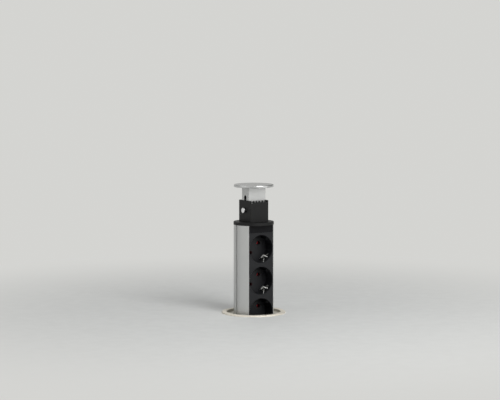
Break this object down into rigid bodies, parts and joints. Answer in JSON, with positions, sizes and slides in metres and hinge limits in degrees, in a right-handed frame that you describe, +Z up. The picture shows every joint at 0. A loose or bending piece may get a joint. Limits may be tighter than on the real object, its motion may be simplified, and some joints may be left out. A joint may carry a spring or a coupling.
{
  "type": "pop up desk socket",
  "caption": "Round pop up tower with earthed sockets in a flat front, which slides down through a trim ring in a worktop until its lid lies flush.",
  "frame": {"origin": "centre of the trim ring's underside, at the worktop's surface", "axes": "+Z up along the tower's axis, -Y out of the flat front with the sockets, -X towards the release button"},
  "size_m": [0.104, 0.104, 0.296],
  "materials": {
    "body_aluminium": "satin anodised",
    "lid_metal": "turned and polished rim",
    "ring_metal": "warm satin",
    "black_plastic": "fine spark texture",
    "strip_plastic": "smooth moulded",
    "red_plastic": "moulded",
    "contact_brass": "stamped",
    "clip_metal": "nickel plated",
    "button_chrome": "polished",
    "rubber": "matt",
    "grey_plastic": "moulded",
    "white_plastic": "moulded",
    "screw_steel": "zinc plated",
    "black_screws": "black oxide"
  },
  "bodies": {
    "mount": {"trim_ring": "ring_metal", "flange_gasket": "rubber", "mounting_sleeve": "grey_plastic", "sleeve_screws": "screw_steel", "guide_bush": "grey_plastic", "friction_pads": "rubber"},
    "washer": {"thrust_washer": "screw_steel"},
    "nut": {"clamp_nut": "grey_plastic"},
    "tower": {"tower_profile": "body_aluminium", "socket_strip": "strip_plastic", "tail_panel": "black_plastic", "live_rail": "contact_brass", "neutral_rail": "contact_brass", "earth_rail": "contact_brass", "terminal_block": "white_plastic", "terminal_screws": "screw_steel", "top_cap": "black_plastic", "cap_screws": "black_screws", "neck_collar": "black_plastic", "neck_screws": "screw_steel", "button_spring": "screw_steel", "bottom_cap": "black_plastic", "bottom_screws": "screw_steel", "gland_body": "black_plastic", "gland_locknut": "black_plastic", "gland_seal": "rubber", "gland_nut": "black_plastic", "contact_block_1": "white_plastic", "earth_bridge_1": "clip_metal", "shutter_spring_1": "screw_steel", "contact_block_2": "white_plastic", "earth_bridge_2": "clip_metal", "shutter_spring_2": "screw_steel", "contact_block_3": "white_plastic", "earth_bridge_3": "clip_metal", "shutter_spring_3": "screw_steel"},
    "lid": {"lid_disc": "lid_metal", "lid_column": "body_aluminium", "lid_plug": "white_plastic", "lid_screws": "screw_steel"},
    "button": {"release_button": "button_chrome", "lock_shoe": "white_plastic"},
    "shutter_1": {"shutter_1": "red_plastic"},
    "shutter_2": {"shutter_2": "red_plastic"},
    "shutter_3": {"shutter_3": "red_plastic"}
  },
  "joints": [
    {"name": "tower_slide", "type": "slide", "parent": "mount", "child": "tower", "axis": [0, 0, 1], "range_m": [-0.1628, 0.0217]},
    {"name": "lid_slide", "type": "slide", "parent": "tower", "child": "lid", "axis": [0, 0, 1], "range_m": [-0.0182, 0]},
    {"name": "button_press", "type": "slide", "parent": "tower", "child": "button", "axis": [1, 0, 0], "range_m": [0, 0.0011], "stiffness_N_per_m": 400, "springref_m": -0.002, "deforming": ["button_spring"]},
    {"name": "nut_travel", "type": "slide", "parent": "mount", "child": "washer", "axis": [0, 0, 1], "range_m": [-0.01501, 0.01801]},
    {"name": "nut_turn", "type": "hinge", "parent": "washer", "child": "nut", "pos_m": [0, 0, -0.0363], "axis": [0, 0, 1], "range_deg": [-1800, 2160]},
    {"name": "shutter_1_turn", "type": "hinge", "parent": "tower", "child": "shutter_1", "pos_m": [0, 0.0051, 0.0926], "axis": [0, 1, 0], "range_deg": [0, 40], "stiffness_Nm_per_rad": 0.001, "springref_deg": -17.19},
    {"name": "shutter_2_turn", "type": "hinge", "parent": "tower", "child": "shutter_2", "pos_m": [0, 0.0051, 0.0476], "axis": [0, 1, 0], "range_deg": [0, 40], "stiffness_Nm_per_rad": 0.001, "springref_deg": -17.19},
    {"name": "shutter_3_turn", "type": "hinge", "parent": "tower", "child": "shutter_3", "pos_m": [0, 0.0051, 0.0026], "axis": [0, 1, 0], "range_deg": [0, 40], "stiffness_Nm_per_rad": 0.001, "springref_deg": -17.19}
  ],
  "couplings": [
    {"joint": "nut_travel", "follows": "nut_turn", "m_per_rad": 0.00047746}
  ]
}
